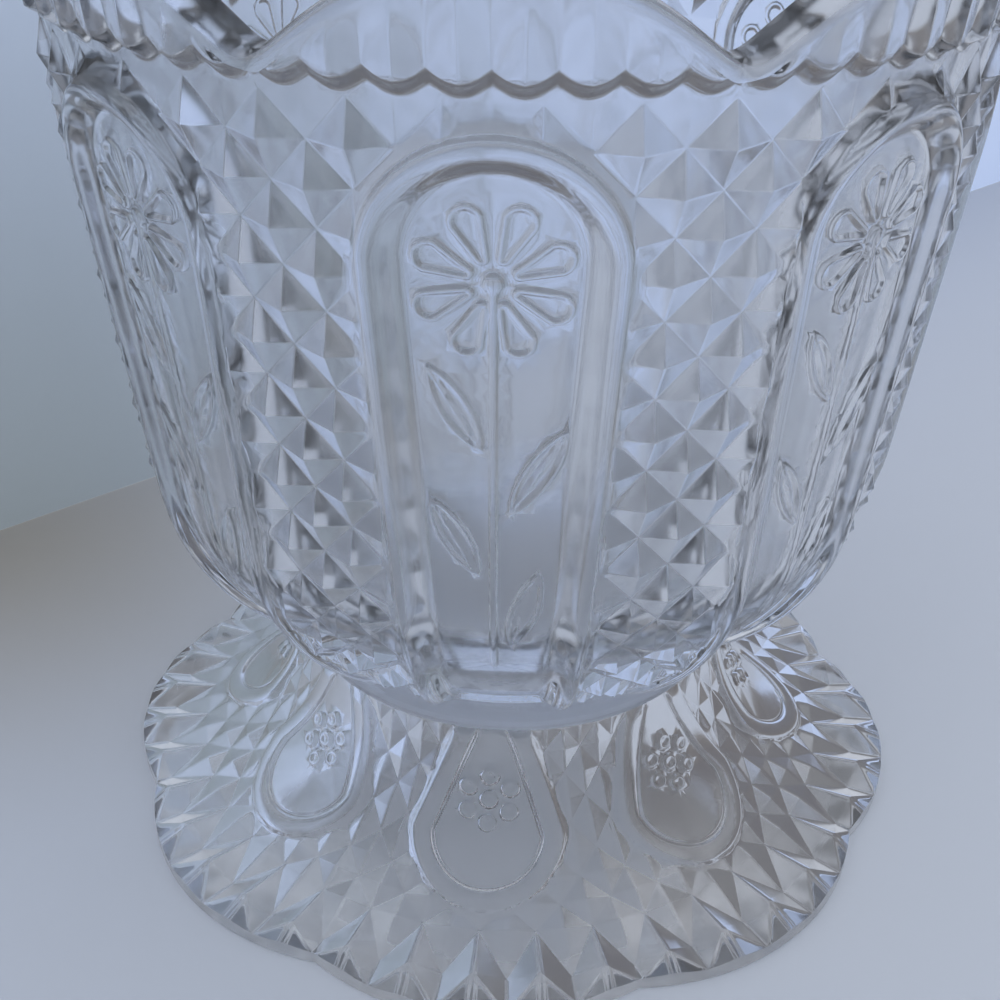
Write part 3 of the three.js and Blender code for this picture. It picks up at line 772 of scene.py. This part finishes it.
def foot_underside(skin, top):
    """Scalloped edge, resting ring and hollow underside, from the upper skin's outer edge inwards."""
    angle = full_circle()
    m = top.meridian
    edge = edge_radius(angle)
    crown = FOOT_EDGE + top.prisms(((angle + SECTOR / 2) % SECTOR - SECTOR / 2) / top.column, 0 * angle)
    rows = [(edge, crown), (edge, crown * 0.5 + 0.3), (edge, REST_CHAMFER)]
    for swing in quarter(4):
        rows.append((edge - REST_CHAMFER * (1 - math.cos(swing)), REST_CHAMFER * (1 - math.sin(swing))))
    rest = FOOT_RADIUS - FOOT_NOTCH - REST_CHAMFER - REST_WIDTH
    rows.append((rest, 0.0))
    side_rows = len(rows)
    radius, height = m.profile(np.linspace(0, m.length, 60), -FOOT_WALL)
    ceiling = FOOT_TOP - FOOT_WALL
    keep = (height > 0.1) & (height < ceiling - 0.8) & (radius < rest - 0.3)
    rows.extend(list(zip(radius[keep], height[keep]))[::2])
    inner, start = radius[keep][-1], height[keep][-1]
    for swing in quarter(5):
        rows.append((inner - 3 * (1 - math.cos(swing)), start + (ceiling - start) * math.sin(swing)))
    rows.extend((r, ceiling) for r in (20, 14, 8, 3))
    rows = [around(angle + FOOT_TURN, *row) for row in rows]
    rings(skin, rows[:side_rows], flip=True)
    rings(skin, rows[side_rows - 1:], flip=True, pole=(0, 0, ceiling), finish=1)


def make_foot(finishes):
    top = FootTop()
    skin = []
    places, faces = top.skin()
    lay(skin, places, faces, flip=True)
    foot_underside(skin, top)
    return glass_piece("scalloped_foot", skin, finishes)


WAFER_BULGE = 0.7


def make_wafer(finishes):
    """The band of glass between bowl and foot. Its two faces are fused into them, so only its side is skin."""
    angle = full_circle()
    rows = []
    for share in np.linspace(0, 1, 12):
        rest = 1 - share
        radius = rest ** 2 * FOOT_COLLAR + 2 * rest * share * (FOOT_COLLAR + WAFER_BULGE) + share ** 2 * COLLAR_RADIUS
        rows.append(around(angle, radius, FOOT_TOP + (BOWL_SEAT - FOOT_TOP) * share))
    skin = []
    rings(skin, rows)
    return glass_piece("fused_wafer", skin, finishes)


class Wire:
    """A socket of a node tree, so that sums of sockets and numbers read as plain arithmetic."""

    def __init__(self, tree, socket):
        self.tree, self.socket = tree, socket

    def maths(self, operation, other):
        return self.tree.add("ShaderNodeMath", {"operation": operation}, {0: self, 1: other})

    def __add__(self, other):
        return self.maths("ADD", other)

    __radd__ = __add__

    def __mul__(self, other):
        return self.maths("MULTIPLY", other)

    __rmul__ = __mul__

    def __lt__(self, other):
        return self.maths("LESS_THAN", other)

    def beside(self, name):
        """Another output of the node that this socket belongs to."""
        return Wire(self.tree, self.socket.node.outputs[name])


class Finish:
    """Node tree of a material or of the world."""

    def __init__(self, owner):
        self.owner = owner
        owner.use_nodes = True
        self.nodes = owner.node_tree.nodes
        self.links = owner.node_tree.links
        self.nodes.clear()

    def add(self, kind, settings=None, sockets=None, out=0):
        """A node of this type: its settings first, then the values or wires of its sockets."""
        node = self.nodes.new(kind)
        for name, value in (settings or {}).items():
            if name == "stops":
                while len(node.color_ramp.elements) < len(value):
                    node.color_ramp.elements.new(0.5)
                for element, (place, colour) in zip(node.color_ramp.elements, value):
                    element.position, element.color = place, colour
            else:
                setattr(node, name, value)
        for name, value in (sockets or {}).items():
            if isinstance(value, Wire):
                self.links.new(value.socket, node.inputs[name])
            else:
                node.inputs[name].default_value = value
        return Wire(self, node.outputs[out]) if len(node.outputs) else node


def clear_glass(name, tint_and_painted_shade, seed, polish=(0.012, 0.07)):
    """Pressed glass with waves and a fine ripple, and patches where its polish is dulled."""
    finish = Finish(bpy.data.materials.new(name))
    place = finish.add("ShaderNodeTexCoord", out=3)

    def noise(offset, scale, detail, roughness):
        return finish.add("ShaderNodeTexNoise", {"noise_dimensions": "4D"}, {
            "Vector": place, "W": seed + offset, "Scale": scale, "Detail": detail, "Roughness": roughness,
        })

    waves = noise(0, 60.0, 2.0, 0.4)
    ripple = noise(3.7, 420.0, 2.0, 0.5)
    bump = finish.add("ShaderNodeBump", None, {"Strength": 0.25, "Distance": 0.0004, "Height": waves + ripple * 0.12})
    cloud = noise(9.1, 25.0, 4.0, 0.6)
    dull = finish.add("ShaderNodeMapRange", None,
                      {"Value": cloud, "From Min": 0.45, "From Max": 0.75, "To Min": polish[0], "To Max": polish[1]})
    # Base Color is the glass's tint; on the foot it is darkened to grey as painted shade
    glass = finish.add("ShaderNodeBsdfPrincipled", None, {
        "Base Color": tint_and_painted_shade, "Roughness": dull, "IOR": 1.52, "Transmission Weight": 1.0, "Normal": bump,
    })
    finish.add("ShaderNodeOutputMaterial", None, {"Surface": glass})
    return finish.owner


# centre of the painted shade that darkens floor and backdrop on the left
PAINTED_SHADE_CORNER = (-0.105, 0.045, 0)


def plain_surface(name, near, far, rough, reach):
    """Matt card with a faint grain, and painted shade: its colour darkens from far to near towards the corner on the
    left.
    Its back is clear, so that the bowl shows from behind as well."""
    finish = Finish(bpy.data.materials.new(name))
    place = finish.add("ShaderNodeTexCoord", out=3)
    grain = finish.add("ShaderNodeTexNoise", None, {"Vector": place, "Scale": 9.0, "Detail": 3.0})
    # painted shade: the colour goes from near, the darker one, at the corner to far over this reach
    away = finish.add("ShaderNodeVectorMath", {"operation": "DISTANCE"}, {0: place, 1: PAINTED_SHADE_CORNER}, out=1)
    share = finish.add("ShaderNodeMapRange", {"interpolation_type": "SMOOTHSTEP"},
                       {"Value": away + grain * 0.02, "From Min": 0.01, "From Max": reach})
    shade = finish.add("ShaderNodeMix", {"data_type": "RGBA"}, {0: share, 6: near + (1,), 7: far + (1,)}, out=2)
    paint = finish.add("ShaderNodeBsdfPrincipled", None, {"Base Color": shade, "Roughness": rough})
    back = finish.add("ShaderNodeNewGeometry", out=6)
    clear = finish.add("ShaderNodeBsdfTransparent")
    card = finish.add("ShaderNodeMixShader", None, {0: back, 1: paint, 2: clear})
    finish.add("ShaderNodeOutputMaterial", None, {"Surface": card})
    return finish.owner


def board(name, corners, material):
    mesh = bpy.data.meshes.new(name)
    mesh.from_pydata([tuple(c * MM for c in corner) for corner in corners], [], [(0, 1, 2, 3)])
    mesh.materials.append(material)
    made = bpy.data.objects.new(name, mesh)
    bpy.context.scene.collection.objects.link(made)
    return made


def soft_lamp(name, place, aim, size, power, colour):
    """Square lamp for floor and backdrop. The glass shows the room alone, so its facets don't glare."""
    data = bpy.data.lights.new(name, "AREA")
    data.size = size
    data.energy = power
    data.color = colour
    made = bpy.data.objects.new(name, data)
    bpy.context.scene.collection.objects.link(made)
    made.location = place
    made.rotation_euler = (Vector(aim) - Vector(place)).to_track_quat("-Z", "Y").to_euler()
    made.visible_glossy = made.visible_transmission = False


FLOOR_BELOW = -0.06
BACKDROP_HEIGHT = 110


def set_stage():
    """Pale board, just under the foot, and a backdrop that stands on it behind the bowl on the left."""
    # both cards carry painted shade, darker near the corner on the left
    floor = plain_surface("pale board", (0.24, 0.235, 0.225), (0.33, 0.365, 0.435), 0.6, 0.1)
    backdrop = plain_surface("grey backdrop", (0.30, 0.35, 0.39), (0.51, 0.61, 0.83), 0.7, 0.2)
    corners = ((-900, -700), (1300, -700), (1300, 1900), (-900, 1900))
    board("floor", [(x, y, FLOOR_BELOW) for x, y in corners], floor)
    corner, onward = np.array([-106.0, 54.0]), np.array([-82.0, 77.0])
    way = (onward - corner) / np.linalg.norm(onward - corner)
    near, far = corner - way * 400, corner + way * 1500
    board("backdrop", [(*near, 0), (*far, 0), (*far, BACKDROP_HEIGHT), (*near, BACKDROP_HEIGHT)], backdrop)


def set_world():
    """A soft room. It lights the scene at a plain level, and glass shows it in the greys of the backdrop."""
    world = bpy.data.worlds.new("soft room")
    bpy.context.scene.world = world
    room = Finish(world)
    way = room.add("ShaderNodeTexCoord", out=0)
    sideways = room.add("ShaderNodeSeparateXYZ", None, {0: way})
    up = sideways.beside("Z")
    height = room.add("ShaderNodeValToRGB", {"stops": [
        (0.0, (0.40, 0.42, 0.46, 1)), (0.46, (0.26, 0.27, 0.29, 1)), (0.52, (0.15, 0.15, 0.16, 1)),
        (0.65, (0.13, 0.135, 0.16, 1)), (0.84, (0.17, 0.18, 0.20, 1)), (0.93, (0.5, 0.54, 0.62, 1)),
        (1.0, (0.6, 0.65, 0.74, 1)),
    ]}, {"Fac": up * 0.5 + 0.5})
    side = room.add("ShaderNodeValToRGB", {"stops": [
        (0.0, (0.95, 1.0, 1.05, 1)), (0.5, (1.0, 1.0, 1.0, 1)), (1.0, (1.1, 1.05, 1.0, 1)),
    ]}, {"Fac": sideways * 0.5 + 0.5})
    seen = room.add("ShaderNodeMix", {"data_type": "RGBA", "blend_type": "MULTIPLY", "clamp_result": False},
                    {0: 1.0, 6: height, 7: side}, out=2)
    path = room.add("ShaderNodeLightPath")
    direct = path.beside("Diffuse Depth") < 0.5
    rays = (path.beside("Is Camera Ray") + path.beside("Is Glossy Ray") + path.beside("Is Transmission Ray")) * direct
    colour = room.add("ShaderNodeMix", {"data_type": "RGBA"},
                      {0: rays, 6: (1.43, 1.44, 1.46, 1), 7: seen}, out=2)
    light = room.add("ShaderNodeBackground", None, {"Color": colour, "Strength": 1.0})
    room.add("ShaderNodeOutputWorld", None, {"Surface": light})


def set_camera():
    data = bpy.data.cameras.new("photo view")
    data.lens, data.sensor_width = 50.44, 36.0
    data.clip_start, data.clip_end = 0.01, 20
    camera = bpy.data.objects.new("photo view", data)
    bpy.context.scene.collection.objects.link(camera)
    forward = Vector((-0.0442, 0.8612, -0.5063)).normalized()
    right = forward.cross(Vector((0, 0, 1))).normalized()
    up = right.cross(forward)
    roll = math.radians(0.586)
    tilted_right = right * math.cos(roll) + up * math.sin(roll)
    tilted_up = up * math.cos(roll) - right * math.sin(roll)
    turn = Matrix((tilted_right, tilted_up, -forward)).transposed().to_4x4()
    camera.matrix_world = Matrix.Translation(Vector((7.37, -181.52, 149.85)) * MM) @ turn
    bpy.context.scene.camera = camera


set_camera()
set_world()
set_stage()
soft_lamp("window", (0.5, 0.9, 1.1), (0.0, 0.1, 0), 0.9, 1.5, (1, 0.98, 0.96))
soft_lamp("fill", (-0.7, -0.8, 0.7), (-0.1, -0.1, 0), 0.6, 1.5, (0.92, 0.96, 1))

# tints, and ranges of roughness for the duller faces; the foot's grey is painted shade, which darkens the foot's
# glass against the bowl's
lilac = (0.975, 0.978, 0.982, 1)
grey = (0.85, 0.85, 0.85, 1)
worn, soft, matt = (0.17, 0.23), (0.16, 0.22), (0.35, 0.45)
for piece, node in (
    (make_bowl([clear_glass("bowl glass", lilac, 1.0), clear_glass("bowl inside", lilac, 4.0, soft)]), "bowl"),
    (make_wafer([clear_glass("wafer glass", lilac, 2.0)]), "joining_wafer"),
    (make_foot([clear_glass("foot glass", grey, 3.0, worn), clear_glass("foot underside", grey, 5.0, matt)]), "foot"),
):
    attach(piece, "root")
    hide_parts(node)

bpy.context.scene.view_settings.view_transform = "Standard"
